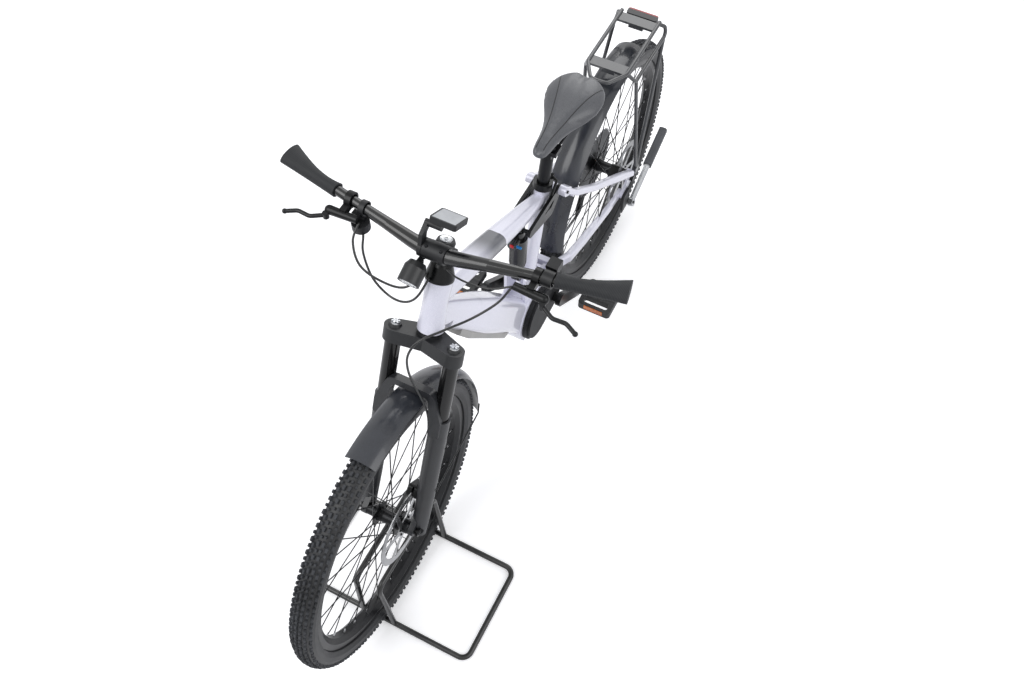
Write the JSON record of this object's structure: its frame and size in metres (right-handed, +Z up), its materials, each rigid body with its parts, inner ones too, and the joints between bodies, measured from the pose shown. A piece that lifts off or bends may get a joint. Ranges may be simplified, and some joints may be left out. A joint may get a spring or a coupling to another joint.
{
  "type": "electric mountain bicycle",
  "caption": "Full-suspension electric mountain bicycle with rack, mudguards and kickstand, its front wheel held in a tubular display stand.",
  "frame": {"origin": "on the floor under the middle of the wheelbase, in the bike's middle plane", "axes": "+X forward, +Y to the rider's left, +Z up"},
  "size_m": [1.936, 0.7578, 1.0972],
  "materials": {
    "bar_black": "satin",
    "black_metal": "satin",
    "chain_steel": "oiled",
    "cog_steel": "dark plated",
    "cover_grey": "satin metallic",
    "crank_black": "satin",
    "derailleur_black": "satin",
    "fork_grey": "matte",
    "frame_paint": "pearl gloss",
    "grip_rubber": "matte",
    "guard_grey": "satin",
    "lamp_red": "gloss",
    "lamp_shell": "satin",
    "lever_black": "satin",
    "motor_black": "matte",
    "pedal_black": "matte",
    "plastic_black": "matte",
    "rack_black": "satin",
    "rim_black": "satin",
    "rotor_steel": "brushed",
    "saddle_vinyl": "matte grained vinyl",
    "seatpost_black": "satin",
    "shock_black": "gloss",
    "silver_metal": "satin",
    "spoke_black": "satin",
    "stand_black": "satin powder coat",
    "stem_black": "satin",
    "tyre": "matte"
  },
  "bodies": {
    "frame": {"main_frame": "frame_paint", "battery_cover": "cover_grey", "drive_unit": "motor_black", "chainstays": "frame_paint", "seatstays": "frame_paint", "rear_axle": "black_metal", "rocker_link": "black_metal", "shock": "shock_black", "seatpost": "seatpost_black", "seat_clamp": "black_metal", "saddle": "saddle_vinyl", "rear_mudguard": "guard_grey", "rear_rack": "rack_black", "tail_light": "lamp_red", "chain": "chain_steel", "rear_derailleur": "derailleur_black", "rear_caliper": "black_metal", "kickstand_bracket": "plastic_black"},
    "steering": {"fork_crown": "fork_grey", "fork_lowers": "fork_grey", "front_axle": "black_metal", "headset": "black_metal", "stem": "stem_black", "handlebar": "bar_black", "grips": "grip_rubber", "brake_masters": "black_metal", "brake_levers": "lever_black", "bar_controls": "plastic_black", "display": "plastic_black", "headlight": "lamp_shell", "front_mudguard": "guard_grey", "mudguard_stays": "black_metal", "front_caliper": "black_metal", "display_stand": "stand_black"},
    "front_wheel": {"front_tyre": "tyre", "front_rim": "rim_black", "front_hub": "spoke_black", "front_rotor": "rotor_steel"},
    "rear_wheel": {"rear_tyre": "tyre", "rear_rim": "rim_black", "rear_hub": "spoke_black", "rear_rotor": "rotor_steel", "cassette": "cog_steel"},
    "crankset": {"crankset": "crank_black", "chainring": "cog_steel"},
    "pedal_left": {"pedal_left": "pedal_black"},
    "pedal_right": {"pedal_right": "pedal_black"},
    "kickstand": {"kickstand_leg": "silver_metal", "kickstand_foot": "plastic_black"}
  },
  "joints": [
    {"name": "steering_turn", "type": "hinge", "parent": "frame", "child": "steering", "pos_m": [0.34078, 0, 0.81978], "axis": [-0.4226, 0, 0.9063], "range_deg": [-60, 60]},
    {"name": "front_wheel_spin", "type": "hinge", "parent": "steering", "child": "front_wheel", "pos_m": [0.6, 0, 0.368], "axis": [0, 1, 0], "continuous": true},
    {"name": "rear_wheel_spin", "type": "hinge", "parent": "frame", "child": "rear_wheel", "pos_m": [-0.6, 0, 0.368], "axis": [0, 1, 0], "continuous": true},
    {"name": "crank_turn", "type": "hinge", "parent": "frame", "child": "crankset", "pos_m": [-0.152, 0, 0.335], "axis": [0, 1, 0], "continuous": true},
    {"name": "pedal_left_turn", "type": "hinge", "parent": "crankset", "child": "pedal_left", "pos_m": [-0.27633, 0.144, 0.21906], "axis": [0, 1, 0], "continuous": true},
    {"name": "pedal_right_turn", "type": "hinge", "parent": "crankset", "child": "pedal_right", "pos_m": [-0.02767, -0.144, 0.45094], "axis": [0, 1, 0], "continuous": true},
    {"name": "kickstand_swing", "type": "hinge", "parent": "frame", "child": "kickstand", "pos_m": [-0.578, 0.099, 0.292], "axis": [0, -0.9703, -0.2419], "range_deg": [0, 109]}
  ]
}
